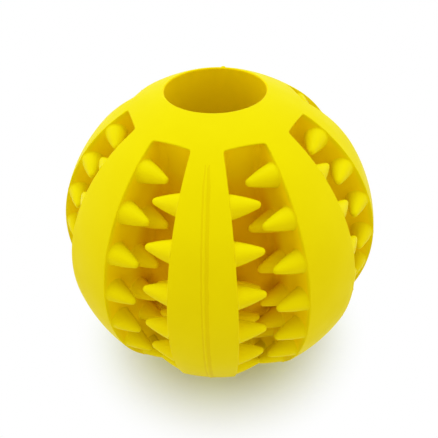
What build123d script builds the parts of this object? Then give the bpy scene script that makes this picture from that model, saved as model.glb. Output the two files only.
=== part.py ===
from build123d import *
import math
import os

# Treat dispensing ball: a hollow rubber ball with a mouth at the top and slots down its sides, like the
# segments of a melon. Soft conical teeth line both walls of every slot and clean a dog's teeth as it chews.
# The ball is one moulding. Its members are modelled as separate solids that meet face to face.
# Millimetres, +Z up. The origin is the middle of the foot ring. The mould parts along the plane X = 0,
# through the front rib at -Y and the rear rib at +Y, and its two halves mirror each other.

# Ball, mouth and foot
BALL_DIAMETER = 70.0
MOUTH_DIAMETER = 20.0
MOUTH_EDGE_RADIUS = 0.3
DOME_RADIUS = 49.0  # profile of the top collar's outside, flatter than the ball, so the mouth stands higher
VENT_DIAMETER = 12.0
VENT_EDGE_RADIUS = 0.5
FOOT_WIDTH = 3.0  # flat ring from the vent's wall outwards
CAP_WIDTH = 7.3  # plain band between the mouth and the ends of the slots, seen from above
NECK_WALL = 5.2  # rubber between the mouth and the slots behind the caps
NECK_BLEND_RADIUS = 10.0  # hollow curve from a neck to the slot floors
FLOOR_WALL = 4.0  # rubber between the slot floors and the treat chamber

# Slots
SLOT_COUNT = 8
SLOT_WIDTH = 14.1  # at the ball's surface, on the equator
WALL_ANGLE = 10.2  # degrees from a slot wall to the slot's middle plane
END_ANGLE = 10.2  # degrees that a slot's ends open outwards
SLOT_CORNER_RADIUS = 0.4
SLOT_EDGE_RADIUS = 0.2

# Teeth
TOOTH_DIAMETER = 4.7  # at the root
TOOTH_TIP_RADIUS = 0.75
TIP_GAP = 1.0  # from the outer row's tips to the slot's middle plane, on the equator
EDGE_LAND = 0.05  # flat wall between the slot's rounded edge and the outer row
ROW_GAP = 1.3  # flat wall between the outer and the inner row
FLOOR_LAND = 0.55  # flat wall between the inner row and the slot's floor
ROW_END_GAP = 2.8  # from a long row's last tooth to the end of the slot
OUTER_LONG_COUNT = 8
INNER_LONG_COUNT = 5

# Tolerances
TOUCH = 1e-4  # closer than this, points of the model are taken to lie on a surface
LEVEL = 0.999  # upright share of a normal beyond which a face is taken to be level

# Sizes that follow
ball_radius = BALL_DIAMETER / 2
mouth_radius = MOUTH_DIAMETER / 2
vent_radius = VENT_DIAMETER / 2
foot_radius = vent_radius + FOOT_WIDTH
foot_drop = math.sqrt(ball_radius**2 - foot_radius**2)
neck_radius = mouth_radius + NECK_WALL
tooth_radius = TOOTH_DIAMETER / 2
outer_row_radius = ball_radius - SLOT_EDGE_RADIUS - EDGE_LAND - tooth_radius
inner_row_radius = outer_row_radius - TOOTH_DIAMETER - ROW_GAP
core_radius = inner_row_radius - tooth_radius - FLOOR_LAND
chamber_radius = core_radius - FLOOR_WALL

wall_slope = math.tan(math.radians(WALL_ANGLE))
wall_sine = math.sin(math.radians(WALL_ANGLE))
wall_cosine = math.cos(math.radians(WALL_ANGLE))
surface_reach = math.sqrt(ball_radius**2 - (SLOT_WIDTH / 2) ** 2)
axis_half_width = SLOT_WIDTH / 2 - surface_reach * wall_slope
wall_offset = axis_half_width * wall_cosine  # from the ball's axis to the plane of a slot wall


def slot_half_width(reach):
    """Half the slot's width at a distance from the ball's axis along the slot's middle plane."""
    return axis_half_width + reach * wall_slope


slot_end_reach = mouth_radius + CAP_WIDTH
slot_half_length = math.sqrt(ball_radius**2 - slot_end_reach**2)
end_slope = math.tan(math.radians(END_ANGLE))


def slot_end_height(reach):
    """Half the slot's length at a distance from the ball's axis along the slot's middle plane."""
    return slot_half_length + (reach - slot_end_reach) * end_slope


slot_corner_height = math.sqrt(slot_end_height(neck_radius) ** 2 - slot_half_width(neck_radius) ** 2)
collar_height = slot_corner_height - SLOT_CORNER_RADIUS - SLOT_EDGE_RADIUS
collar_reach = math.sqrt(ball_radius**2 - collar_height**2)
dome_share = 1 - DOME_RADIUS / ball_radius
dome_reach = dome_share * collar_reach  # middle of the dome's arc, which meets the ball's surface smoothly
dome_height = dome_share * collar_height

row_reach = math.sqrt(outer_row_radius**2 - wall_offset**2)
row_half_width = slot_half_width(row_reach * wall_cosine - wall_offset * wall_sine)
tooth_length = (row_half_width - TIP_GAP) / wall_cosine
last_tooth_angle = math.asin((slot_half_length - ROW_END_GAP - tooth_radius) / outer_row_radius)
tooth_pitch = outer_row_radius * 2 * last_tooth_angle / (OUTER_LONG_COUNT - 1)
slot_pitch = 360 / SLOT_COUNT


def around(azimuth):
    """Turn from +X to an azimuth counted from the front, -Y, towards +X."""
    return Rot(0, 0, azimuth - 90)


def slot():
    """One slot as a cutting blade along +X: leaning walls, round leaning ends and rounded corners."""
    near, far = mouth_radius, BALL_DIAMETER
    outline = Polyline(
        (near, -slot_half_width(near)),
        (far, -slot_half_width(far)),
        (far, slot_half_width(far)),
        (near, slot_half_width(near)),
        close=True,
    )
    wedge = extrude(make_face(outline), BALL_DIAMETER, both=True)
    ends = Cone(
        slot_end_height(0), slot_end_height(2 * far), 2 * far, align=(Align.CENTER, Align.CENTER, Align.MIN)
    )
    blade = wedge & Rot(0, 90, 0) * ends
    corners = [edge for edge in blade.edges() if edge.bounding_box().size.X > BALL_DIAMETER / 2]
    return fillet(corners, SLOT_CORNER_RADIUS)


def surface_gap(point):
    """Distance of a point from the outside, the ball's round surface or the top collar's dome."""
    reach = math.hypot(point.X, point.Y)
    ball_gap = abs(point.length - ball_radius)
    dome_gap = abs(math.hypot(reach - dome_reach, point.Z - dome_height) - DOME_RADIUS)
    return min(ball_gap, dome_gap)


def on_surface(edge):
    """Whether an edge lies on the outside."""
    return all(surface_gap(edge @ share) < TOUCH for share in (0, 0.5, 1))


def at_reach(edge, reach):
    """Whether an edge stays at a distance from the ball's axis."""
    points = [edge @ share for share in (0, 0.5, 1)]
    return all(abs(math.hypot(point.X, point.Y) - reach) < TOUCH for point in points)


def soften_rims(body):
    """Round the edges where the slots come out at the surface."""
    outside_types = (GeomType.SPHERE, GeomType.TORUS, GeomType.REVOLUTION)
    cut_faces = [
        face
        for face in body.faces()
        if face.geom_type not in outside_types and abs(face.normal_at(None).Z) < LEVEL
    ]
    rims = [edge for face in cut_faces for edge in face.edges() if on_surface(edge)]
    return fillet(rims, SLOT_EDGE_RADIUS)


def slot_core():
    """The space that the slots leave in the middle: the shell, blending into a neck at each end."""
    core = Sphere(core_radius) + Cylinder(neck_radius, 2 * collar_height)
    joins = [edge for edge in core.edges().filter_by(GeomType.CIRCLE) if abs(edge.center().Z) < core_radius]
    return fillet(joins, NECK_BLEND_RADIUS)


def core_shell(core):
    """The hollow core: the treat chamber, open to the mouth above and to the vent below."""
    mouth = Cylinder(mouth_radius, ball_radius, align=(Align.CENTER, Align.CENTER, Align.MIN))
    vent = Cylinder(vent_radius, ball_radius, align=(Align.CENTER, Align.CENTER, Align.MAX))
    return core - Sphere(chamber_radius) - mouth - vent


def dome():
    """The top collar without its slots and bore: a ring with a round top."""
    inner = mouth_radius / 2
    middle = (inner + collar_reach) / 2
    heights = [
        dome_height + math.sqrt(DOME_RADIUS**2 - (reach - dome_reach) ** 2) for reach in (inner, middle)
    ]
    outline = [
        Line((inner, collar_height), (collar_reach, collar_height)),
        ThreePointArc((collar_reach, collar_height), (middle, heights[1]), (inner, heights[0])),
        Line((inner, heights[0]), (inner, collar_height)),
    ]
    return revolve(Plane.XZ * make_face(outline), Axis.Z)


def foot_cap():
    """The bottom collar without its slots and bore, upside down: the ball's end, cut flat for the foot."""
    slab = Cylinder(ball_radius, foot_drop - collar_height, align=(Align.CENTER, Align.CENTER, Align.MIN))
    return Sphere(ball_radius) & Pos(0, 0, collar_height) * slab


def collar(blank, blade, bore_radius, bore_edge_radius):
    """A cap over the slots' ends with a rounded bore, cut from its blank."""
    notch = blade - Cylinder(neck_radius, 2 * BALL_DIAMETER)
    body = blank - [around((index + 0.5) * slot_pitch) * notch for index in range(SLOT_COUNT)]
    body = soften_rims(body) - Cylinder(bore_radius, 2 * BALL_DIAMETER)
    bore_edges = [edge for edge in body.edges() if at_reach(edge, bore_radius)]
    return fillet(ShapeList(bore_edges).sort_by(Axis.Z)[-1], bore_edge_radius)


def rib(blade, core):
    """The rib along +X, between two slots, from one collar to the other."""
    half_angle = math.radians(slot_pitch / 2)
    corner = (BALL_DIAMETER * math.cos(half_angle), BALL_DIAMETER * math.sin(half_angle))
    sector = Polyline((0, 0), (corner[0], -corner[1]), corner, close=True)
    body = Sphere(ball_radius) & extrude(make_face(sector), collar_height, both=True)
    for side in (-1, 1):
        body -= Rot(0, 0, side * slot_pitch / 2) * blade
    return soften_rims(body - core)


def tooth():
    """One tooth on the XY plane, a cone along +Z with a round tip."""
    centre_height = tooth_length - TOOTH_TIP_RADIUS
    slant = math.hypot(tooth_radius, centre_height)
    lean = math.atan2(centre_height, -tooth_radius) - math.asin(TOOTH_TIP_RADIUS / slant)
    side = math.sqrt(slant**2 - TOOTH_TIP_RADIUS**2)
    shoulder = (tooth_radius + side * math.cos(lean), side * math.sin(lean))
    outline = [
        Line((0, 0), (tooth_radius, 0)),
        Line((tooth_radius, 0), shoulder),
        TangentArc(shoulder, (0, tooth_length), tangent=(math.cos(lean), math.sin(lean))),
        Line((0, tooth_length), (0, 0)),
    ]
    return revolve(Plane.XZ * make_face(outline), Axis.Z)


def tooth_row(shape, row_radius, count, side):
    """A row of teeth on one wall of a slot along +X, spread evenly about the equator.

    side is +1 for the wall towards +Y and -1 for the wall towards -Y.
    """
    inward = Vector(wall_sine, -side * wall_cosine, 0)
    along = Vector(wall_cosine, side * wall_sine, 0)
    step = tooth_pitch / row_radius
    row = []
    for index in range(count):
        angle = (index - (count - 1) / 2) * step
        height = row_radius * math.sin(angle)
        reach = math.sqrt((row_radius * math.cos(angle)) ** 2 - wall_offset**2)
        root = along * reach - inward * wall_offset + Vector(0, 0, height)
        row.append(Plane(root, x_dir=(0, 0, 1), z_dir=inward).location * shape)
    return row


def write(name, solids):
    """Write one node, lifted so that the foot ring lies on the plane Z = 0."""
    lifted = [Pos(0, 0, foot_drop) * solid for solid in solids]
    export_step(Compound(children=lifted) if len(lifted) > 1 else lifted[0], f"parts/{name}.step")


def main():
    """Make the members of the moulding, set the teeth on the ribs and write every node."""
    os.makedirs("parts", exist_ok=True)
    blade = slot()
    core = slot_core()
    write("core_shell", [core_shell(core)])
    write("top_collar", [collar(dome(), blade, mouth_radius, MOUTH_EDGE_RADIUS)])
    bottom_collar = collar(foot_cap(), blade, vent_radius, VENT_EDGE_RADIUS)
    write("bottom_collar", [mirror(bottom_collar, about=Plane.XY)])
    rib_shape = rib(blade, core)
    rows = {"outer": (outer_row_radius, OUTER_LONG_COUNT), "inner": (inner_row_radius, INNER_LONG_COUNT)}
    shape = tooth()
    for index in range(SLOT_COUNT):
        write(f"rib_{index + 1}", [around(index * slot_pitch) * rib_shape])
        for side_name, side in (("left", -1), ("right", 1)):
            slot_azimuth = (index + side / 2) * slot_pitch % 360
            # In each half of the mould the wall nearer the front has the short row of a staggered pair.
            short = (side > 0) == (slot_azimuth < 180)
            for row_name, (row_radius, long_count) in rows.items():
                row = tooth_row(shape, row_radius, long_count - short, -side)
                placed = [around(slot_azimuth) * item for item in row]
                write(f"rib_{index + 1}_{side_name}_{row_name}_teeth", placed)


main()
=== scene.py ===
"""Looks of a treat dispensing ball, a yellow rubber moulding with toothed slots, around its CAD frame."""

import logging
import math
from collections.abc import Mapping
from dataclasses import dataclass, field
from enum import Enum
from typing import Any

import bmesh
import bpy
import numpy as np
from mathutils import Matrix, Quaternion, Vector


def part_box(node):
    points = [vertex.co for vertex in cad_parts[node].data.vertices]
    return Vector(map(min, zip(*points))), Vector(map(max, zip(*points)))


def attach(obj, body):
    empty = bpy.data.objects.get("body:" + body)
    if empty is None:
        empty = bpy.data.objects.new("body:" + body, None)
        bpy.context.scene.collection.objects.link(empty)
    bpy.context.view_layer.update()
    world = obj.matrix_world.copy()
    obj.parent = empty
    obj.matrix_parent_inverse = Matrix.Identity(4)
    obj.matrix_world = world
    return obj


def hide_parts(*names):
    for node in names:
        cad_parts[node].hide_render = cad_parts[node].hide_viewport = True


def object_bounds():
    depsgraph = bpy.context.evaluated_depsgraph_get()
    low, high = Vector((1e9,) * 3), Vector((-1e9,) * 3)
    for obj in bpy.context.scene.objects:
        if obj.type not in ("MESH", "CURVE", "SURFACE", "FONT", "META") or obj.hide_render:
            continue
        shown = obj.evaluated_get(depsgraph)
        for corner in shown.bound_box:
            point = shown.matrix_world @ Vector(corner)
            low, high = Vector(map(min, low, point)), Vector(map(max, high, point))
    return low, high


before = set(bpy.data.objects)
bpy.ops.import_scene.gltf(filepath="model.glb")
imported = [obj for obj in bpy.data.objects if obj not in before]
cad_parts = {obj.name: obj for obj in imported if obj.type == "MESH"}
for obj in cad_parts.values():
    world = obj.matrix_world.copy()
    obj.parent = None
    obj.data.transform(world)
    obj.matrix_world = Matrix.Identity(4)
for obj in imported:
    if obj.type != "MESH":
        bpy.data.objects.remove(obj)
cad_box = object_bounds()
log = logging.getLogger("treat_ball")

Colour = tuple[float, float, float]

MM = 0.001
BODY = "root"
WHITE: Colour = (1.0, 1.0, 1.0)


class Side(Enum):
    """The two walls of a rib, seen from outside with the mouth up."""

    LEFT = -1
    RIGHT = 1


class RowDepth(Enum):
    """The two rows of teeth on a wall, by their place between the rim and the slot's floor."""

    OUTER = "outer"
    INNER = "inner"


class NodeSketch:
    """Writes a node tree briefly: an input that is given a socket is linked, any other value is set."""

    # Places of the colour sockets among a Mix node's inputs and outputs
    MIX_COLOURS = (6, 7)
    MIX_RESULT = 2

    def __init__(self, tree: bpy.types.NodeTree) -> None:
        """Keep the tree to write in."""
        self.tree = tree

    def socket(self, name: str, kind: str, into: bool = True) -> None:
        """Add a named socket to the tree's interface.

        Args:
            name: the socket's name.
            kind: the socket's type, such as NodeSocketFloat.
            into: True for an input and False for an output.
        """
        self.tree.interface.new_socket(name, in_out="INPUT" if into else "OUTPUT", socket_type=kind)

    def add(self, kind: str, inputs: dict[Any, Any] | None = None, **settings: Any) -> bpy.types.Node:
        """Add a node, set its properties and fill its inputs.

        Args:
            kind: the node's type name.
            inputs: values or sockets by input name or index.
            settings: properties of the node itself.

        Returns:
            The new node.
        """
        node = self.tree.nodes.new(kind)
        for name, value in settings.items():
            setattr(node, name, value)
        for key, value in (inputs or {}).items():
            self.fill(node.inputs[key], value)
        return node

    def fill(self, target: bpy.types.NodeSocket, value: Any) -> None:
        """Link a socket into an input, or set the input's own value.

        Args:
            target: the input.
            value: a socket to link, or a value to set.
        """
        if isinstance(value, bpy.types.NodeSocket):
            self.tree.links.new(value, target)
        else:
            target.default_value = value

    def math(self, operation: str, *values: Any, clamp: bool = False) -> bpy.types.NodeSocket:
        """Add a Math node and give its result.

        Args:
            operation: the node's operation, such as MULTIPLY.
            values: its inputs in order, numbers or sockets.
            clamp: whether the result is held between 0 and 1.

        Returns:
            The output socket.
        """
        node = self.add("ShaderNodeMath", dict(enumerate(values)), operation=operation, use_clamp=clamp)
        return node.outputs[0]

    def vector(
        self, operation: str, first: Any, second: Any = None, scale: Any = None
    ) -> bpy.types.NodeSocket:
        """Add a Vector Math node and give its vector result, or its length.

        Args:
            operation: the node's operation, such as ADD or LENGTH.
            first: the first vector.
            second: the second vector, where the operation has one.
            scale: the factor of a SCALE operation.

        Returns:
            The output socket.
        """
        inputs = {0: first}
        if second is not None:
            inputs[1] = second
        if scale is not None:
            inputs["Scale"] = scale
        node = self.add("ShaderNodeVectorMath", inputs, operation=operation)
        return node.outputs["Value" if operation == "LENGTH" else "Vector"]

    def mix(self, factor: bpy.types.NodeSocket, *colours: Any) -> bpy.types.NodeSocket:
        """Add a Mix node for two colours and give its result.

        Args:
            factor: the share of the second colour.
            colours: the two colours, each a socket or a Colour.

        Returns:
            The output socket.
        """
        node = self.add("ShaderNodeMix", {"Factor": factor}, data_type="RGBA")
        for index, colour in zip(self.MIX_COLOURS, colours):
            linked = isinstance(colour, bpy.types.NodeSocket)
            self.fill(node.inputs[index], colour if linked else (*colour, 1.0))
        return node.outputs[self.MIX_RESULT]


@dataclass(frozen=True)
class BallSizes:
    """Sizes of the moulding in metres and degrees. The ball's own radius and centre come from the frame."""

    radius: float
    centre_height: float
    rib_half_height: float
    slot_count: int = 8
    slot_width: float = 14.1 * MM
    wall_angle: float = 10.2
    rim_radius: float = 0.2 * MM
    dome_radius: float = 49.0 * MM
    mouth_radius: float = 10.0 * MM
    vent_radius: float = 6.0 * MM
    core_radius: float = 23.5 * MM
    neck_radius: float = 15.2 * MM
    neck_blend: float = 10.0 * MM

    @classmethod
    def from_frame(cls) -> "BallSizes":
        """Read the ball's radius, its centre's height and the ribs' height from the frame.

        Returns:
            The sizes.
        """
        low, high = cad_box
        rib_low, rib_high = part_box("rib_1")
        return cls(
            radius=(high.x - low.x) / 2,
            centre_height=(rib_low.z + rib_high.z) / 2,
            rib_half_height=(rib_high.z - rib_low.z) / 2,
        )

    @property
    def slot_pitch(self) -> float:
        """Angle between neighbouring slots, in degrees."""
        return 360 / self.slot_count

    @property
    def wall_offset(self) -> float:
        """Place of a slot wall.

        Returns:
            The distance from the ball's axis to the wall's plane.
        """
        slope = math.tan(math.radians(self.wall_angle))
        reach = math.sqrt(self.radius**2 - (self.slot_width / 2) ** 2)
        return (self.slot_width / 2 - reach * slope) * math.cos(math.radians(self.wall_angle))

    @property
    def centre(self) -> Vector:
        """The ball's centre."""
        return Vector((0, 0, self.centre_height))

    @property
    def ball(self) -> "RoundSurface":
        """The ball's own surface."""
        return RoundSurface(0.0, self.centre_height, self.radius)

    @property
    def dome(self) -> "RoundSurface":
        """The top collar's outside, which leaves the ball's surface smoothly at the top of the ribs.

        Returns:
            The surface.
        """
        share = 1 - self.dome_radius / self.radius
        edge_reach = math.sqrt(self.radius**2 - self.rib_half_height**2)
        arc_height = self.centre_height + share * self.rib_half_height
        return RoundSurface(share * edge_reach, arc_height, self.dome_radius)

    def core_reach(self, height: float) -> float:
        """Radius of the slots' floor at a height above the ball's centre.

        Args:
            height: the height, in metres.

        Returns:
            The distance from the ball's axis to the floor.
        """
        blend_reach = self.neck_radius + self.neck_blend
        blend_height = math.sqrt((self.core_radius + self.neck_blend) ** 2 - blend_reach**2)
        share = self.core_radius / (self.core_radius + self.neck_blend)
        height = abs(height)
        if height < blend_height * share:
            return math.sqrt(self.core_radius**2 - height**2)
        if height < blend_height:
            return blend_reach - math.sqrt(self.neck_blend**2 - (blend_height - height) ** 2)
        return self.neck_radius


@dataclass(frozen=True)
class RoundSurface:
    """A surface turned from an arc about the ball's axis: the ball, or the flatter dome round the mouth."""

    arc_reach: float
    arc_height: float
    arc_radius: float

    def follow(self, points: np.ndarray) -> tuple[np.ndarray, np.ndarray]:
        """Compare points with the surface.

        Args:
            points: one point in each row.

        Returns:
            The points' distances from the surface, and the surface's normals beside them.
        """
        reach = np.hypot(points[:, 0], points[:, 1])
        outward = reach - self.arc_reach
        upward = points[:, 2] - self.arc_height
        length = np.hypot(outward, upward)
        across = (outward / reach / length)[:, None] * points[:, :2]
        normals = np.column_stack((across, upward / length))
        return np.abs(length - self.arc_radius), normals

    def point(self, azimuth: float, reach: float) -> Vector:
        """Point of the surface's upper side.

        Args:
            azimuth: its direction from the front towards +X, in degrees.
            reach: its distance from the axis.

        Returns:
            The point.
        """
        turn = math.radians(azimuth - 90)
        height = self.arc_height + math.sqrt(self.arc_radius**2 - (reach - self.arc_reach) ** 2)
        return Vector((reach * math.cos(turn), reach * math.sin(turn), height))


@dataclass(frozen=True)
class RubberWithPaintedShade:
    """Satin natural rubber: a yellow with faint mottling and a fine mould grain, with painted shade: ochre
    deep in the slots and bores, a darker orange on the slots' floor.
    """

    name: str
    light: Colour = (0.92, 0.815, 0.0012)
    mottle: Colour = (0.90, 0.79, 0.0012)
    # deep and floor are painted shade, laid in by depth below the surface: ochre in slots and bores, darker
    # orange on the slots' floor.
    deep: Colour = (1.0, 0.79, 0.0012)
    floor: Colour = (0.92, 0.575, 0.001)
    painted_shade_depths: tuple[float, float] = (0.05 * MM, 1.4 * MM)
    floor_shade_depth: float = 7.0 * MM
    shaded_bore_radius: float = 0.0
    roughness: tuple[float, float] = (0.46, 0.58)
    grain_size: float = 0.30 * MM
    grain_height: float = 0.012 * MM
    specular: float = 0.06
    bump_strength: float = 1.0
    sheen_colour: Colour = (1.0, 0.86, 0.05)

    def material(self, sizes: BallSizes) -> bpy.types.Material:
        """Build the material, with its painted shade in the slots and bores.

        Args:
            sizes: the ball's sizes, for the depth of the slots.

        Returns:
            The material, with its shader in it.
        """
        made = bpy.data.materials.new(self.name)
        made.use_nodes = True
        sketch = NodeSketch(made.node_tree)
        shader = made.node_tree.nodes["Principled BSDF"]
        grain = sketch.add("ShaderNodeGroup", {"Grain Size": self.grain_size}, node_tree=mould_grain_group())
        painted_shade_values = {
            "Centre Height": sizes.centre_height,
            "Start Radius": sizes.radius - self.painted_shade_depths[0],
            "Full Radius": sizes.radius - self.painted_shade_depths[1],
            "Floor Start Radius": sizes.radius - self.floor_shade_depth,
            "Floor Radius": sizes.core_radius,
            "Bore Radius": self.shaded_bore_radius,
        }
        depth = sketch.add("ShaderNodeGroup", painted_shade_values, node_tree=painted_slot_shade_group())
        mottled = sketch.mix(grain.outputs["Mottle"], self.light, self.mottle)
        # Painted shade: the yellow turns ochre with depth in a slot or bore, then a darker orange on the
        # slots' floor.
        painted_deep_shade = sketch.mix(depth.outputs["Depth"], mottled, self.deep)
        painted_floor_shade = sketch.mix(depth.outputs["Floor"], painted_deep_shade, self.floor)
        rough = sketch.add(
            "ShaderNodeMapRange",
            {"Value": grain.outputs["Mottle"], "To Min": self.roughness[0], "To Max": self.roughness[1]},
        )
        bump = sketch.add(
            "ShaderNodeBump",
            {
                "Height": grain.outputs["Height"],
                "Strength": self.bump_strength,
                "Distance": self.grain_height,
            },
        )
        dressing = {
            "Base Color": painted_floor_shade,
            "Roughness": rough.outputs["Result"],
            "Normal": bump.outputs["Normal"],
            "Specular IOR Level": self.specular,
            "Specular Tint": (*self.sheen_colour, 1.0),
        }
        for label, value in dressing.items():
            sketch.fill(shader.inputs[label], value)
        return made


def mould_grain_group() -> bpy.types.NodeTree:
    """Shader group for the mould's fine grain and the rubber's slow mottling.

    Returns:
        The group, with the outputs Height and Mottle.
    """
    name = "mould grain"
    if name in bpy.data.node_groups:
        return bpy.data.node_groups[name]
    ripple_scale = 240.0
    ripple_share = 3.0
    cloud_scale = 95.0
    cloud_range = (0.35, 0.65)
    sketch = NodeSketch(bpy.data.node_groups.new(name, "ShaderNodeTree"))
    sketch.socket("Grain Size", "NodeSocketFloat")
    sketch.socket("Height", "NodeSocketFloat", into=False)
    sketch.socket("Mottle", "NodeSocketFloat", into=False)
    start = sketch.add("NodeGroupInput")
    place = sketch.add("ShaderNodeTexCoord").outputs["Object"]
    scale = sketch.math("DIVIDE", 1.0, start.outputs["Grain Size"])
    grain = sketch.add(
        "ShaderNodeTexNoise", {"Vector": place, "Scale": scale, "Detail": 3.0, "Roughness": 0.6}
    )
    ripple = sketch.add("ShaderNodeTexNoise", {"Vector": place, "Scale": ripple_scale, "Detail": 2.0})
    cloud = sketch.add(
        "ShaderNodeTexNoise", {"Vector": place, "Scale": cloud_scale, "Detail": 4.0, "Roughness": 0.55}
    )
    height = sketch.math("MULTIPLY_ADD", ripple.outputs["Fac"], ripple_share, grain.outputs["Fac"])
    mottle = sketch.add(
        "ShaderNodeMapRange",
        {"Value": cloud.outputs["Fac"], "From Min": cloud_range[0], "From Max": cloud_range[1]},
    )
    sketch.add("NodeGroupOutput", {"Height": height, "Mottle": mottle.outputs["Result"]})
    return sketch.tree


def painted_slot_shade_group() -> bpy.types.NodeTree:
    """Shader group for the masks of the painted shade: how deep a point lies in a slot or a bore.

    Returns:
        The group. Its output Depth is 0 at the ball's surface and 1 deep in a slot or on a bore's wall, and
        Floor rises further down to 1 on the slots' floor, but stays 0 on a bore's wall.
    """
    name = "slot depth"
    if name in bpy.data.node_groups:
        return bpy.data.node_groups[name]
    bore_fade = (0.3 * MM, 0.05 * MM)
    sketch = NodeSketch(bpy.data.node_groups.new(name, "ShaderNodeTree"))
    for label in ("Centre Height", "Start Radius", "Full Radius", "Floor Start Radius", "Floor Radius",
                  "Bore Radius"):
        sketch.socket(label, "NodeSocketFloat")
    sketch.socket("Depth", "NodeSocketFloat", into=False)
    sketch.socket("Floor", "NodeSocketFloat", into=False)
    start = sketch.add("NodeGroupInput")
    place = sketch.add("ShaderNodeTexCoord").outputs["Object"]
    centre = sketch.add("ShaderNodeCombineXYZ", {"Z": start.outputs["Centre Height"]})
    reach = sketch.vector("LENGTH", sketch.vector("SUBTRACT", place, centre.outputs[0]))
    depth = sketch.add(
        "ShaderNodeMapRange",
        {
            "Value": reach,
            "From Min": start.outputs["Start Radius"],
            "From Max": start.outputs["Full Radius"],
        },
        interpolation_type="SMOOTHSTEP",
    )
    # Painted shade on a bore's wall: full within 0.05 mm of the bore's radius, none 0.3 mm outside it.
    level = sketch.vector("LENGTH", sketch.vector("MULTIPLY", place, (1.0, 1.0, 0.0)))
    past_bore = sketch.math("SUBTRACT", level, start.outputs["Bore Radius"])
    bore = sketch.add(
        "ShaderNodeMapRange", {"Value": past_bore, "From Min": bore_fade[0], "From Max": bore_fade[1]}
    )
    painted_shade_share = sketch.math("MAXIMUM", depth.outputs["Result"], bore.outputs["Result"])
    floor = sketch.add(
        "ShaderNodeMapRange",
        {
            "Value": reach,
            "From Min": start.outputs["Floor Start Radius"],
            "From Max": start.outputs["Floor Radius"],
        },
    )
    outside_bore = sketch.math("SUBTRACT", 1.0, bore.outputs["Result"])
    floor_shade_share = sketch.math("MULTIPLY", floor.outputs["Result"], outside_bore)
    sketch.add("NodeGroupOutput", {"Depth": painted_shade_share, "Floor": floor_shade_share})
    return sketch.tree


def new_piece(name: str, mesh: bpy.types.Mesh, *nodes: str) -> bpy.types.Object:
    """Put a mesh in the scene as a piece that rides on the ball.

    Args:
        name: the piece's name.
        mesh: its mesh, already in place.
        nodes: the CAD nodes that it stands for.

    Returns:
        The piece.
    """
    piece = bpy.data.objects.new(name, mesh)
    bpy.context.scene.collection.objects.link(piece)
    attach(piece, BODY)
    if nodes:
        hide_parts(*nodes)
    log.info("%s: %d faces", name, len(mesh.polygons))
    return piece


def grown_mesh(tree: bpy.types.NodeTree, values: dict[str, Any]) -> bpy.types.Mesh:
    """Run a Geometry Nodes tree on an empty mesh.

    Args:
        tree: the tree.
        values: the tree's inputs by name.

    Returns:
        The tree's result as a plain mesh.
    """
    holder = bpy.data.objects.new("holder", bpy.data.meshes.new("holder"))
    bpy.context.scene.collection.objects.link(holder)
    modifier = holder.modifiers.new("grow", "NODES")
    modifier.node_group = tree
    for item in tree.interface.items_tree:
        if item.item_type == "SOCKET" and item.in_out == "INPUT" and item.name in values:
            modifier[item.identifier] = values[item.name]
    graph = bpy.context.evaluated_depsgraph_get()
    mesh = bpy.data.meshes.new_from_object(holder.evaluated_get(graph), depsgraph=graph)
    holder.modifiers.remove(modifier)
    bpy.data.objects.remove(holder)
    return mesh


def round_normals(mesh: bpy.types.Mesh, surface: RoundSurface) -> None:
    """Give the corners on a round surface that surface's own normals, so that members meet without a line.

    Args:
        mesh: the mesh of a rib or a collar.
        surface: the member's outside.
    """
    near_surface = 0.03 * MM
    most_tilt = 6.0
    facing = math.cos(math.radians(most_tilt))
    corner_count = len(mesh.loops)
    normals = np.zeros(corner_count * 3, np.float32)
    mesh.corner_normals.foreach_get("vector", normals)
    normals = normals.reshape(-1, 3)
    points = np.zeros(len(mesh.vertices) * 3, np.float32)
    mesh.vertices.foreach_get("co", points)
    corner_points = np.zeros(corner_count, np.int32)
    mesh.loops.foreach_get("vertex_index", corner_points)
    gaps, ideal = surface.follow(points.reshape(-1, 3)[corner_points])
    face_normals = np.zeros(len(mesh.polygons) * 3, np.float32)
    mesh.polygons.foreach_get("normal", face_normals)
    totals = np.zeros(len(mesh.polygons), np.int32)
    mesh.polygons.foreach_get("loop_total", totals)
    corner_faces = np.repeat(face_normals.reshape(-1, 3), totals, axis=0)
    outside = gaps < near_surface
    outside &= (ideal * corner_faces).sum(axis=1) > facing
    normals[outside] = ideal[outside]
    mesh.normals_split_custom_set(normals.tolist())


@dataclass
class CastMember:
    """A member whose CAD shape is right: its solid, merged and shaded smooth, in the rubber's finish."""

    surface: RoundSurface
    material: bpy.types.Material
    node: str
    crease_angle: float = 30.0
    merge_distance: float = 0.0005 * MM
    face_weight: int = 100

    def build(self) -> bpy.types.Object:
        """Copy the node's mesh, merge it and shade it.

        Returns:
            The piece that stands for the node.
        """
        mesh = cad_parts[self.node].data.copy()
        mesh.name = f"{self.node}_cast"
        shape = bmesh.new()
        shape.from_mesh(mesh)
        bmesh.ops.remove_doubles(shape, verts=shape.verts, dist=self.merge_distance)
        shape.to_mesh(mesh)
        shape.free()
        if mesh.has_custom_normals:
            mesh.normals_split_custom_set([(0, 0, 0)] * len(mesh.loops))
        mesh.materials.clear()
        mesh.materials.append(self.material)
        mesh.shade_smooth()
        mesh.set_sharp_from_angle(angle=math.radians(self.crease_angle))
        holder = bpy.data.objects.new("holder", mesh)
        bpy.context.scene.collection.objects.link(holder)
        weighted = holder.modifiers.new("weighted", "WEIGHTED_NORMAL")
        weighted.keep_sharp = True
        weighted.weight = self.face_weight
        graph = bpy.context.evaluated_depsgraph_get()
        shaded = bpy.data.meshes.new_from_object(holder.evaluated_get(graph), depsgraph=graph)
        bpy.data.objects.remove(holder)
        round_normals(shaded, self.surface)
        return new_piece(f"{self.node}_cast", shaded, self.node)


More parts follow.
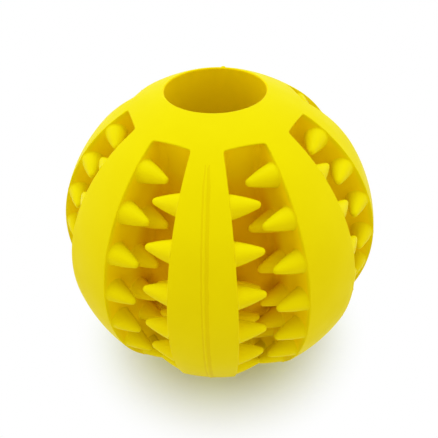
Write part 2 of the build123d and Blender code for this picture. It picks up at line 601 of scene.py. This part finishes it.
@dataclass
class Rib:
    """A smooth rib between two slots: a strip of the ball with rounded rims and hollow roots."""

    sizes: BallSizes
    material: bpy.types.Material
    index: int
    layers: int = 72
    face_points: int = 25
    rim_points: int = 5
    wall_points: int = 7
    root_points: int = 6
    back_points: int = 7
    root_radius: float = 1.3 * MM
    root_end_radius: float = 0.12 * MM
    root_fade: float = 1.2 * MM
    seat_depth: float = 0.03 * MM
    crease_angle: float = 40.0

    def build(self) -> bpy.types.Object:
        """Loft the rib through level slices from one collar to the other.

        Returns:
            The piece that stands for the rib's node.
        """
        sizes = self.sizes
        top = math.asin(sizes.rib_half_height / sizes.radius)
        shape = bmesh.new()
        turn = math.radians(self.index * sizes.slot_pitch - 90)
        loops = []
        for layer in range(self.layers + 1):
            height = sizes.radius * math.sin(top * (2 * layer / self.layers - 1))
            ring = []
            for point in self.slice(height):
                across = complex(*point) * complex(math.cos(turn), math.sin(turn))
                ring.append(shape.verts.new((across.real, across.imag, height + sizes.centre_height)))
            loops.append(ring)
        for lower, upper in zip(loops, loops[1:]):
            for first in range(len(lower)):
                second = (first + 1) % len(lower)
                shape.faces.new((lower[first], lower[second], upper[second], upper[first]))
        shape.faces.new(reversed(loops[0]))
        shape.faces.new(loops[-1])
        bmesh.ops.recalc_face_normals(shape, faces=shape.faces)
        mesh = bpy.data.meshes.new(f"rib_{self.index + 1}_cast")
        shape.to_mesh(mesh)
        shape.free()
        mesh.materials.append(self.material)
        mesh.shade_smooth()
        mesh.set_sharp_from_angle(angle=math.radians(self.crease_angle))
        round_normals(mesh, sizes.ball)
        return new_piece(f"rib_{self.index + 1}_cast", mesh, f"rib_{self.index + 1}")

    def slice(self, height: float) -> list[tuple[float, float]]:
        """One level slice of a rib that points along +X.

        Args:
            height: the slice's height above the ball's centre.

        Returns:
            The slice's outline, counter-clockwise, starting at the rim towards -Y.
        """
        sizes = self.sizes
        reach = math.sqrt(sizes.radius**2 - height**2)
        slant = sizes.radius / reach
        normal_angle = math.radians(sizes.slot_pitch / 2 + 90 - sizes.wall_angle)
        normal = complex(math.cos(normal_angle), math.sin(normal_angle))
        inward = normal * 1j

        def wall_point(distance: float) -> complex:
            """Point of the wall towards +Y at a distance from the ball's axis."""
            along = math.sqrt(distance**2 - sizes.wall_offset**2)
            return -normal * sizes.wall_offset - inward * along

        corner = wall_point(reach)
        tangent = corner / abs(corner) * -1j
        rim = sizes.rim_radius
        drop = rim * slant
        middle = corner + tangent * rim + inward * drop
        half = [middle - inward * drop * math.cos(a) - tangent * rim * math.sin(a)
                for a in np.linspace(0, math.pi / 2, self.rim_points)]
        core = sizes.core_reach(height)
        root = self.root_size(height)
        hollow = self.hollow_root(normal, core, root)
        start = half[-1]
        steps = np.linspace(0, 1, self.wall_points + 1)[1:-1]
        half += [start + (hollow[0] - start) * step for step in steps]
        half += hollow
        face_angle = math.atan2(half[0].imag, half[0].real)
        face = [reach * complex(math.cos(a), math.sin(a))
                for a in np.linspace(-face_angle, face_angle, self.face_points)[1:-1]]
        back_reach = core - self.seat_depth
        back_angle = math.atan2(half[-1].imag, half[-1].real)
        back = [back_reach * complex(math.cos(a), math.sin(a))
                for a in np.linspace(back_angle, -back_angle, self.back_points)[1:-1]]
        lower_half = [point.conjugate() for point in reversed(half)]
        outline = lower_half + face + half + back
        return [(point.real, point.imag) for point in outline]

    def root_size(self, height: float) -> float:
        """Size of the hollow root, which fades towards the collars.

        Args:
            height: the height above the ball's centre.

        Returns:
            The root's radius.
        """
        share = min((self.sizes.rib_half_height - abs(height)) / self.root_fade, 1)
        share = share * share * (3 - 2 * share)
        return self.root_end_radius + (self.root_radius - self.root_end_radius) * share

    def hollow_root(self, normal: complex, core: float, root: float) -> list[complex]:
        """Arc that leads from the wall towards +Y into the slot's floor.

        Args:
            normal: the wall's normal, into the slot.
            core: the floor's distance from the ball's axis in this slice.
            root: the arc's radius.

        Returns:
            Points from the wall to the floor, the last one just under the floor.
        """
        far = core + root
        along = math.sqrt(far**2 - (root - self.sizes.wall_offset) ** 2)
        outward = normal * -1j
        centre = normal * (root - self.sizes.wall_offset) + outward * along
        first = -normal
        last = -centre / abs(centre)
        sweep = math.atan2((first.conjugate() * last).imag, (first.conjugate() * last).real)
        arc = []
        for share in np.linspace(0, 1, self.root_points):
            arm = first * complex(math.cos(sweep * share), math.sin(sweep * share))
            arc.append(centre + arm * root)
        arc[-1] *= (core - self.seat_depth) / abs(arc[-1])
        return arc


@dataclass
class ToothRow:
    """A row of soft conical cleaning teeth on one wall of a rib, each with a round tip and a hollow root."""

    sizes: BallSizes
    material: bpy.types.Material
    rib: int
    side: Side
    depth: RowDepth
    root_radius: float = 2.35 * MM
    tip_radius: float = 0.75 * MM
    length: float = 5.679 * MM
    bulge: float = 0.13 * MM
    pitch: float = 8.284 * MM
    flare: float = 0.28 * MM
    sink: float = 0.06 * MM
    unevenness: float = 0.015
    row_radius: dict[RowDepth, float] = field(
        default_factory=lambda: {RowDepth.OUTER: 32.4 * MM, RowDepth.INNER: 26.4 * MM}
    )
    long_count: dict[RowDepth, int] = field(
        default_factory=lambda: {RowDepth.OUTER: 8, RowDepth.INNER: 5}
    )

    @property
    def name(self) -> str:
        """The row's CAD node."""
        return f"rib_{self.rib + 1}_{self.side.name.lower()}_{self.depth.value}_teeth"

    @property
    def slot_azimuth(self) -> float:
        """Azimuth of the slot that the wall belongs to, counted from the front towards +X, in degrees."""
        return (self.rib + self.side.value / 2) * self.sizes.slot_pitch % 360

    @property
    def count(self) -> int:
        """Teeth in the row. In each half of the mould the wall nearer the front has one tooth less."""
        short = (self.side is Side.RIGHT) == (self.slot_azimuth < 180)
        return self.long_count[self.depth] - short

    def build(self) -> bpy.types.Object:
        """Grow the row.

        Returns:
            The piece that stands for the row's node.
        """
        lean = math.radians(self.sizes.wall_angle)
        turn = math.radians(self.slot_azimuth - 90)
        inward = complex(math.sin(lean), self.side.value * math.cos(lean))
        along = complex(math.cos(lean), -self.side.value * math.sin(lean))
        turned = complex(math.cos(turn), math.sin(turn))
        inward *= turned
        along *= turned
        slope = math.atan2(self.root_radius, self.length - self.tip_radius)
        slope -= math.asin(self.tip_radius / math.hypot(self.root_radius, self.length - self.tip_radius))
        mesh = grown_mesh(
            tooth_row_tree(),
            {
                "Count": self.count,
                "Row Radius": self.row_radius[self.depth],
                "Pitch": self.pitch,
                "Wall Offset": self.sizes.wall_offset,
                "Centre Height": self.sizes.centre_height,
                "Inward": (inward.real, inward.imag, 0.0),
                "Along": (along.real, along.imag, 0.0),
                "Root Radius": self.root_radius,
                "Tip Radius": self.tip_radius,
                "Length": self.length,
                "Taper": math.tan(slope),
                "Shoulder": self.length - self.tip_radius * (1 - math.sin(slope)),
                "Bulge": self.bulge,
                "Flare": self.flare,
                "Sink": self.sink,
                "Unevenness": self.unevenness,
                "Seed": self.rib * 4 + self.side.value + 2 * (self.depth is RowDepth.INNER),
                "Material": self.material,
            },
        )
        return new_piece(f"{self.name}_cast", mesh, self.name)


def tooth_row_tree() -> bpy.types.NodeTree:
    """Geometry Nodes tree for a row of teeth along a circle about the ball's centre, on a flat wall.

    Returns:
        The tree.
    """
    name = "tooth row"
    if name in bpy.data.node_groups:
        return bpy.data.node_groups[name]
    rings = 13
    sides = 20
    crowding = 0.9
    merge_distance = 0.002 * MM
    sketch = NodeSketch(bpy.data.node_groups.new(name, "GeometryNodeTree"))
    sketch.socket("Geometry", "NodeSocketGeometry", into=False)
    for label in ("Count", "Seed"):
        sketch.socket(label, "NodeSocketInt")
    lengths = ("Row Radius", "Pitch", "Wall Offset", "Centre Height", "Root Radius", "Tip Radius", "Length")
    for label in (*lengths, "Taper", "Shoulder", "Bulge", "Flare", "Sink", "Unevenness"):
        sketch.socket(label, "NodeSocketFloat")
    for label in ("Inward", "Along"):
        sketch.socket(label, "NodeSocketVector")
    sketch.socket("Material", "NodeSocketMaterial")
    given = sketch.add("NodeGroupInput").outputs
    tooth = tooth_shape(sketch, given, rings, sides, crowding, merge_distance)
    index = sketch.add("GeometryNodeInputIndex").outputs[0]
    half_count = sketch.math("MULTIPLY", sketch.math("SUBTRACT", given["Count"], 1.0), 0.5)
    step = sketch.math("DIVIDE", given["Pitch"], given["Row Radius"])
    angle = sketch.math("MULTIPLY", sketch.math("SUBTRACT", index, half_count), step)
    level = sketch.math("MULTIPLY", given["Row Radius"], sketch.math("COSINE", angle))
    offset_square = sketch.math("POWER", given["Wall Offset"], 2.0)
    reach = sketch.math("SQRT", sketch.math("SUBTRACT", sketch.math("POWER", level, 2.0), offset_square))
    rise = sketch.math("SINE", angle)
    height = sketch.math("MULTIPLY_ADD", given["Row Radius"], rise, given["Centre Height"])
    back = sketch.math("ADD", given["Wall Offset"], given["Sink"])
    on_wall = sketch.vector(
        "SUBTRACT",
        sketch.vector("SCALE", given["Along"], scale=reach),
        sketch.vector("SCALE", given["Inward"], scale=back),
    )
    place = sketch.vector("ADD", on_wall, sketch.add("ShaderNodeCombineXYZ", {"Z": height}).outputs[0])
    points = sketch.add("GeometryNodePoints", {"Count": given["Count"], "Position": place})
    facing = sketch.add(
        "FunctionNodeAxesToRotation",
        {"Primary Axis": given["Inward"], "Secondary Axis": (0.0, 0.0, 1.0)},
        primary_axis="Z",
        secondary_axis="X",
    )
    least = sketch.math("SUBTRACT", 1.0, given["Unevenness"])
    most = sketch.math("ADD", 1.0, given["Unevenness"])
    growth = sketch.add(
        "FunctionNodeRandomValue", {2: least, 3: most, "Seed": given["Seed"]}, data_type="FLOAT"
    )
    placed = sketch.add(
        "GeometryNodeInstanceOnPoints",
        {
            "Points": points.outputs[0],
            "Instance": tooth,
            "Rotation": facing.outputs[0],
            "Scale": growth.outputs[1],
        },
    )
    real = sketch.add("GeometryNodeRealizeInstances", {"Geometry": placed.outputs[0]})
    dressed = sketch.add(
        "GeometryNodeSetMaterial", {"Geometry": real.outputs[0], "Material": given["Material"]}
    )
    sketch.add("NodeGroupOutput", {"Geometry": dressed.outputs[0]})
    return sketch.tree


def tooth_shape(
    sketch: NodeSketch,
    given: Mapping[str, bpy.types.NodeSocket],
    rings: int,
    sides: int,
    crowding: float,
    merge_distance: float,
) -> bpy.types.NodeSocket:
    """Add the nodes of one tooth, a turned shape along +Z on the XY plane.

    Args:
        sketch: the tree's sketch.
        given: the tree's inputs by name.
        rings: rings along the tooth.
        sides: sides of each ring.
        crowding: how much closer the rings lie at the root and the tip, from 0 to 1.
        merge_distance: distance at which the tip's points become one.

    Returns:
        The socket with the tooth's mesh.
    """
    full_turn = 2 * math.pi
    spine = sketch.add("GeometryNodeCurvePrimitiveLine", {"End": (0.0, 0.0, 1.0)})
    spine = sketch.add("GeometryNodeResampleCurve", {"Curve": spine.outputs[0], "Count": rings})
    share = sketch.add("GeometryNodeSplineParameter").outputs["Factor"]
    wave = sketch.math("SINE", sketch.math("MULTIPLY", share, full_turn))
    crowded = sketch.math("MULTIPLY_ADD", wave, -crowding / full_turn, share)
    height = sketch.math("MULTIPLY", crowded, given["Length"])
    rise = sketch.add("ShaderNodeCombineXYZ", {"Z": height}).outputs[0]
    spine = sketch.add("GeometryNodeSetPosition", {"Geometry": spine.outputs[0], "Position": rise})
    position = sketch.add("GeometryNodeInputPosition").outputs[0]
    level = sketch.add("ShaderNodeSeparateXYZ", {0: position}).outputs["Z"]
    cone = sketch.math("SUBTRACT", given["Root Radius"], sketch.math("MULTIPLY", level, given["Taper"]))
    climb = sketch.math("DIVIDE", level, given["Shoulder"], clamp=True)
    swell = sketch.math("SINE", sketch.math("MULTIPLY", climb, math.pi))
    cone = sketch.math("MULTIPLY_ADD", swell, given["Bulge"], cone)
    ball_height = sketch.math("SUBTRACT", given["Length"], given["Tip Radius"])
    above = sketch.math("POWER", sketch.math("SUBTRACT", level, ball_height), 2.0)
    tip_square = sketch.math("POWER", given["Tip Radius"], 2.0)
    ball = sketch.math("SQRT", sketch.math("MAXIMUM", sketch.math("SUBTRACT", tip_square, above), 0.0))
    at_tip = sketch.math("GREATER_THAN", level, given["Shoulder"])
    body = sketch.math("MULTIPLY_ADD", at_tip, sketch.math("SUBTRACT", ball, cone), cone)
    drop = sketch.math("SUBTRACT", 1.0, sketch.math("DIVIDE", level, given["Flare"]))
    drop = sketch.math("POWER", sketch.math("MAXIMUM", drop, 0.0), 2.0)
    lip = sketch.math("SUBTRACT", 1.0, sketch.math("SQRT", sketch.math("SUBTRACT", 1.0, drop)))
    outline = sketch.math("MULTIPLY_ADD", given["Flare"], lip, body)
    ring = sketch.add("GeometryNodeCurvePrimitiveCircle", {"Resolution": sides, "Radius": 1.0})
    turned = sketch.add(
        "GeometryNodeCurveToMesh",
        {
            "Curve": spine.outputs[0],
            "Profile Curve": ring.outputs[0],
            "Scale": outline,
            "Fill Caps": True,
        },
    )
    merged = sketch.add(
        "GeometryNodeMergeByDistance", {"Geometry": turned.outputs[0], "Distance": merge_distance}
    )
    smooth = sketch.add("GeometryNodeSetShadeSmooth", {"Geometry": merged.outputs[0], "Shade Smooth": True})
    return smooth.outputs[0]


@dataclass(frozen=True)
class RidgeProfile:
    """Cross-section of a ridge along the parting line, and its shift sideways in degrees."""

    shift: float
    half_width: float
    height: float


@dataclass
class MouldSeam:
    """A low ridge that the mould's parting line leaves on a rib, running out at both ends."""

    sizes: BallSizes
    material: bpy.types.Material
    name: str
    azimuth: float
    profile: RidgeProfile
    depth: float = 0.60 * MM
    top_angle: float = 60.0
    bottom_angle: float = -74.0
    fade_angle: float = 14.0
    steps: int = 220
    sides: int = 14
    seed: int = 3

    def build(self) -> bpy.types.Object:
        """Sweep the ridge along its meridian.

        Returns:
            The piece.
        """
        mesh = grown_mesh(
            seam_tree(),
            {
                "Radius": self.sizes.radius,
                "Centre Height": self.sizes.centre_height,
                "Azimuth": math.radians(self.azimuth + self.profile.shift - 90),
                "Top": math.radians(self.top_angle),
                "Bottom": math.radians(self.bottom_angle),
                "Fade": math.radians(self.fade_angle),
                "Half Width": self.profile.half_width,
                "Depth": self.depth,
                "Height": self.profile.height,
                "Steps": self.steps,
                "Sides": self.sides,
                "Seed": self.seed,
                "Material": self.material,
            },
        )
        return new_piece(self.name, mesh)


def seam_tree() -> bpy.types.NodeTree:
    """Geometry Nodes tree for a low ridge along a meridian of the ball, uneven in height as flash is.

    Returns:
        The tree.
    """
    name = "mould seam"
    if name in bpy.data.node_groups:
        return bpy.data.node_groups[name]
    ripple_scale = 30.0
    least_rise = 0.5
    sketch = NodeSketch(bpy.data.node_groups.new(name, "GeometryNodeTree"))
    sketch.socket("Geometry", "NodeSocketGeometry", into=False)
    for label in ("Steps", "Sides", "Seed"):
        sketch.socket(label, "NodeSocketInt")
    angles = ("Azimuth", "Top", "Bottom", "Fade")
    for label in ("Radius", "Centre Height", *angles, "Half Width", "Depth", "Height"):
        sketch.socket(label, "NodeSocketFloat")
    sketch.socket("Material", "NodeSocketMaterial")
    given = sketch.add("NodeGroupInput").outputs
    spine = sketch.add("GeometryNodeCurvePrimitiveLine", {"End": (0.0, 0.0, 1.0)})
    spine = sketch.add("GeometryNodeResampleCurve", {"Curve": spine.outputs[0], "Count": given["Steps"]})
    share = sketch.add("GeometryNodeSplineParameter").outputs["Factor"]
    sweep = sketch.math("SUBTRACT", given["Top"], given["Bottom"])
    angle = sketch.math("MULTIPLY_ADD", share, sweep, given["Bottom"])
    ripple_place = sketch.add("ShaderNodeCombineXYZ", {"X": share, "Y": given["Seed"]}).outputs[0]
    uneven = sketch.add("ShaderNodeTexNoise", {"Vector": ripple_place, "Scale": ripple_scale})
    to_top = sketch.math("SUBTRACT", given["Top"], angle)
    to_bottom = sketch.math("SUBTRACT", angle, given["Bottom"])
    to_end = sketch.math("MINIMUM", to_top, to_bottom)
    full = sketch.add(
        "ShaderNodeMapRange",
        {"Value": to_end, "From Max": given["Fade"]},
        interpolation_type="SMOOTHSTEP",
    )
    swell = sketch.math("ADD", uneven.outputs["Fac"], least_rise)
    rise = sketch.math("MULTIPLY", swell, full.outputs["Result"])
    seat = sketch.math("SUBTRACT", given["Radius"], given["Depth"])
    shift = sketch.math("MULTIPLY_ADD", rise, given["Height"], seat)
    level = sketch.math("MULTIPLY", shift, sketch.math("COSINE", angle))
    place = sketch.add(
        "ShaderNodeCombineXYZ",
        {
            "X": sketch.math("MULTIPLY", level, sketch.math("COSINE", given["Azimuth"])),
            "Y": sketch.math("MULTIPLY", level, sketch.math("SINE", given["Azimuth"])),
            "Z": sketch.math("MULTIPLY_ADD", shift, sketch.math("SINE", angle), given["Centre Height"]),
        },
    )
    spine = sketch.add(
        "GeometryNodeSetPosition", {"Geometry": spine.outputs[0], "Position": place.outputs[0]}
    )
    ring = sketch.add("GeometryNodeCurvePrimitiveCircle", {"Resolution": given["Sides"], "Radius": 1.0})
    flat = sketch.add(
        "ShaderNodeCombineXYZ", {"X": given["Half Width"], "Y": given["Depth"], "Z": 1.0}
    )
    ring = sketch.add("GeometryNodeTransform", {"Geometry": ring.outputs[0], "Scale": flat.outputs[0]})
    ridge = sketch.add(
        "GeometryNodeCurveToMesh",
        {"Curve": spine.outputs[0], "Profile Curve": ring.outputs[0], "Fill Caps": True},
    )
    smooth = sketch.add("GeometryNodeSetShadeSmooth", {"Geometry": ridge.outputs[0], "Shade Smooth": True})
    real = sketch.add("GeometryNodeRealizeInstances", {"Geometry": smooth.outputs[0]})
    dressed = sketch.add(
        "GeometryNodeSetMaterial", {"Geometry": real.outputs[0], "Material": given["Material"]}
    )
    sketch.add("NodeGroupOutput", {"Geometry": dressed.outputs[0]})
    return sketch.tree


@dataclass
class RimFlash:
    """The small nub of flash that the mould leaves at the back of the mouth's rim."""

    surface: RoundSurface
    material: bpy.types.Material
    azimuth: float = 176.0
    reach: float = 10.6 * MM
    size: tuple[float, float, float] = (0.5 * MM, 0.35 * MM, 0.22 * MM)
    meridians: int = 16
    levels: int = 10

    def build(self) -> bpy.types.Object:
        """Press a flat round nub into the rim.

        Returns:
            The piece.
        """
        mesh = bpy.data.meshes.new("mouth_rim_flash")
        shape = bmesh.new()
        place = Matrix.Translation(self.surface.point(self.azimuth, self.reach))
        stretch = Matrix.Diagonal((*self.size, 1.0))
        bmesh.ops.create_uvsphere(
            shape, u_segments=self.meridians, v_segments=self.levels, radius=1.0, matrix=place @ stretch
        )
        shape.to_mesh(mesh)
        shape.free()
        mesh.materials.append(self.material)
        mesh.shade_smooth()
        return new_piece(mesh.name, mesh)


@dataclass
class TreatBall:
    """The whole ball: core, collars, ribs, rows of teeth and the mould's seams."""

    sizes: BallSizes
    broad_ridge: RidgeProfile = RidgeProfile(shift=0.8, half_width=1.9 * MM, height=0.05 * MM)
    flash_line: RidgeProfile = RidgeProfile(shift=0.5, half_width=0.45 * MM, height=0.12 * MM)
    pieces: list[bpy.types.Object] = field(default_factory=list)

    def build(self) -> None:
        """Build every piece of the ball and dress it."""
        sizes = self.sizes
        skin = RubberWithPaintedShade("ribs satin rubber").material(sizes)
        # The mouth's, the vent's and the core's bores get the painted ochre shade on their walls.
        mouth = RubberWithPaintedShade("mouth satin rubber", shaded_bore_radius=sizes.mouth_radius).material(sizes)
        foot = RubberWithPaintedShade("foot satin rubber", shaded_bore_radius=sizes.vent_radius).material(sizes)
        core = RubberWithPaintedShade(
            "core satin rubber", shaded_bore_radius=sizes.mouth_radius, roughness=(0.52, 0.66)
        ).material(sizes)
        # The teeth's painted shade begins 4.5 mm in, so the inner rows turn ochre and the outer rows only
        # towards their roots.
        teeth = RubberWithPaintedShade(
            "teeth satin rubber",
            painted_shade_depths=(4.5 * MM, 9.5 * MM),
            floor_shade_depth=9.5 * MM,
            roughness=(0.42, 0.54),
            grain_height=0.008 * MM,
        ).material(sizes)
        self.pieces.append(CastMember(sizes.ball, core, "core_shell").build())
        self.pieces.append(CastMember(sizes.dome, mouth, "top_collar").build())
        self.pieces.append(CastMember(sizes.ball, foot, "bottom_collar").build())
        for index in range(sizes.slot_count):
            self.pieces.append(Rib(sizes, skin, index).build())
            for side in Side:
                for depth in RowDepth:
                    self.pieces.append(ToothRow(sizes, teeth, index, side, depth).build())
        # The broad seam ridge is a darker yellow, painted shade for its flanks; the flash line on it keeps
        # the ribs' yellow.
        seam = RubberWithPaintedShade(
            "seam satin rubber", light=(0.87, 0.735, 0.0012), mottle=(0.85, 0.71, 0.0012)
        ).material(sizes)
        for place, azimuth in (("front", 0.0), ("rear", 180.0)):
            ridge = MouldSeam(sizes, seam, f"{place}_mould_seam", azimuth, self.broad_ridge)
            flash = MouldSeam(sizes, skin, f"{place}_mould_flash", azimuth, self.flash_line)
            self.pieces += [ridge.build(), flash.build()]
        self.pieces.append(RimFlash(sizes.dome, skin).build())


@dataclass(frozen=True)
class SoftBox:
    """A square soft lamp: its place and side in metres, its power in watts and its light's colour."""

    name: str
    place: tuple[float, float, float]
    side: float
    power: float
    colour: Colour

    def hang(self, target: Vector) -> None:
        """Hang the lamp in the scene.

        Args:
            target: the point that it faces.
        """
        lamp = bpy.data.lights.new(self.name, "AREA")
        lamp.energy = self.power
        lamp.color = self.colour
        lamp.size = self.side
        hung = bpy.data.objects.new(self.name, lamp)
        bpy.context.scene.collection.objects.link(hung)
        hung.location = self.place
        hung.rotation_mode = "QUATERNION"
        hung.rotation_quaternion = (Vector(self.place) - target).to_track_quat("Z", "Y")


@dataclass
class Studio:
    """Plain pale floor, soft studio light and the camera at the photograph's angle."""

    sizes: BallSizes
    image_size: int = 438
    camera_azimuth: float = 5.792
    camera_elevation: float = 39.413
    camera_roll: float = -1.636
    camera_distance: float = 122.505 * MM
    focal_pixels: float = 518.575
    image_centre: tuple[float, float] = (219.062, 222.767)
    sensor_millimetres: float = 36.0
    nearest_seen: float = 1 * MM
    floor_size: float = 3.0
    floor_roughness: float = 0.9
    floor_colour: Colour = (0.84, 1.0, 0.93)
    floor_bounce: Colour = (0.80, 0.76, 0.68)
    shadow_reach: tuple[float, float] = (17.5 * MM, 40 * MM)
    sky_strength: float = 0.74
    sky_colour: Colour = (1.0, 0.87, 0.78)
    lamps: tuple[SoftBox, ...] = (
        SoftBox("key lamp", (-0.02, 0.17, 0.80), 0.5, 2.65, (0.72, 1.0, 0.80)),
        SoftBox("left lamp", (-0.77, -0.1, 0.24), 0.4, 0.75, (0.97, 0.97, 0.88)),
        SoftBox("right lamp", (0.77, -0.1, 0.24), 0.4, 0.5, (0.97, 0.97, 0.88)),
    )

    def build(self) -> None:
        """Set up the floor, the light and the camera."""
        bpy.context.scene.view_settings.view_transform = "Standard"
        self.build_camera()
        self.build_sky()
        self.build_floor()
        for lamp in self.lamps:
            lamp.hang(self.sizes.centre)

    def build_camera(self) -> None:
        """Place the camera where the photograph was taken from."""
        azimuth = math.radians(self.camera_azimuth)
        elevation = math.radians(self.camera_elevation)
        back = Vector(
            (
                math.sin(azimuth) * math.cos(elevation),
                -math.cos(azimuth) * math.cos(elevation),
                math.sin(elevation),
            )
        )
        lens = bpy.data.cameras.new("photo camera")
        lens.sensor_width = self.sensor_millimetres
        lens.lens = self.focal_pixels / self.image_size * lens.sensor_width
        lens.shift_x = (self.image_size / 2 - self.image_centre[0]) / self.image_size
        lens.shift_y = (self.image_centre[1] - self.image_size / 2) / self.image_size
        lens.clip_start = self.nearest_seen
        camera = bpy.data.objects.new("photo camera", lens)
        bpy.context.scene.collection.objects.link(camera)
        camera.location = self.sizes.centre + back * self.camera_distance
        camera.rotation_mode = "QUATERNION"
        roll = Quaternion((0, 0, 1), math.radians(self.camera_roll))
        camera.rotation_quaternion = back.to_track_quat("Z", "Y") @ roll
        bpy.context.scene.camera = camera

    def build_sky(self) -> None:
        """White where the camera and reflections see it, and an even soft light on the ball."""
        world = bpy.data.worlds.new("white tent")
        bpy.context.scene.world = world
        world.use_nodes = True
        sketch = NodeSketch(world.node_tree)
        background = world.node_tree.nodes["Background"]
        seen = self.seen_directly(sketch)
        sketch.fill(background.inputs["Color"], sketch.mix(seen, self.sky_colour, WHITE))
        strength = sketch.math("MULTIPLY_ADD", seen, 1.0 - self.sky_strength, self.sky_strength)
        sketch.fill(background.inputs["Strength"], strength)

    def seen_directly(self, sketch: NodeSketch) -> bpy.types.NodeSocket:
        """Mask for the rays that show the studio: from the camera, in reflections and through clear things.

        Args:
            sketch: the node tree to write in.

        Returns:
            The socket, 1 for such rays and 0 for the others.
        """
        rays = sketch.add("ShaderNodeLightPath").outputs
        seen = sketch.math("MAXIMUM", rays["Is Camera Ray"], rays["Is Glossy Ray"])
        return sketch.math("MAXIMUM", seen, rays["Is Transmission Ray"])

    def build_floor(self) -> None:
        """A pale floor that keeps the ball's shadow and turns white further out."""
        half = self.floor_size / 2
        mesh = bpy.data.meshes.new("floor")
        corners = [(-half, -half, 0), (half, -half, 0), (half, half, 0), (-half, half, 0)]
        mesh.from_pydata(corners, [], [(0, 1, 2, 3)])
        floor = bpy.data.objects.new("floor", mesh)
        bpy.context.scene.collection.objects.link(floor)
        paper = bpy.data.materials.new("white paper")
        paper.use_nodes = True
        sketch = NodeSketch(paper.node_tree)
        shader = paper.node_tree.nodes["Principled BSDF"]
        seen = self.seen_directly(sketch)
        sketch.fill(shader.inputs["Base Color"], sketch.mix(seen, self.floor_bounce, self.floor_colour))
        sketch.fill(shader.inputs["Roughness"], self.floor_roughness)
        sketch.fill(shader.inputs["Specular IOR Level"], 0.0)
        place = sketch.add("ShaderNodeTexCoord").outputs["Object"]
        away = sketch.add(
            "ShaderNodeMapRange",
            {
                "Value": sketch.vector("LENGTH", place),
                "From Min": self.shadow_reach[0],
                "From Max": self.shadow_reach[1],
            },
            interpolation_type="SMOOTHSTEP",
        )
        white = sketch.add("ShaderNodeEmission", {"Color": (*WHITE, 1.0), "Strength": 1.0})
        shown = sketch.add(
            "ShaderNodeMixShader",
            {
                0: sketch.math("MULTIPLY", away.outputs["Result"], seen),
                1: shader.outputs[0],
                2: white.outputs[0],
            },
        )
        sketch.fill(paper.node_tree.nodes["Material Output"].inputs["Surface"], shown.outputs[0])
        mesh.materials.append(paper)


def main() -> None:
    """Build the ball, then the studio, and report each piece."""
    logging.basicConfig(level=logging.INFO, format="%(name)s: %(message)s")
    sizes = BallSizes.from_frame()
    ball = TreatBall(sizes)
    ball.build()
    Studio(sizes).build()
    log.info("%d pieces", len(ball.pieces))


if __name__ == "__main__":
    main()
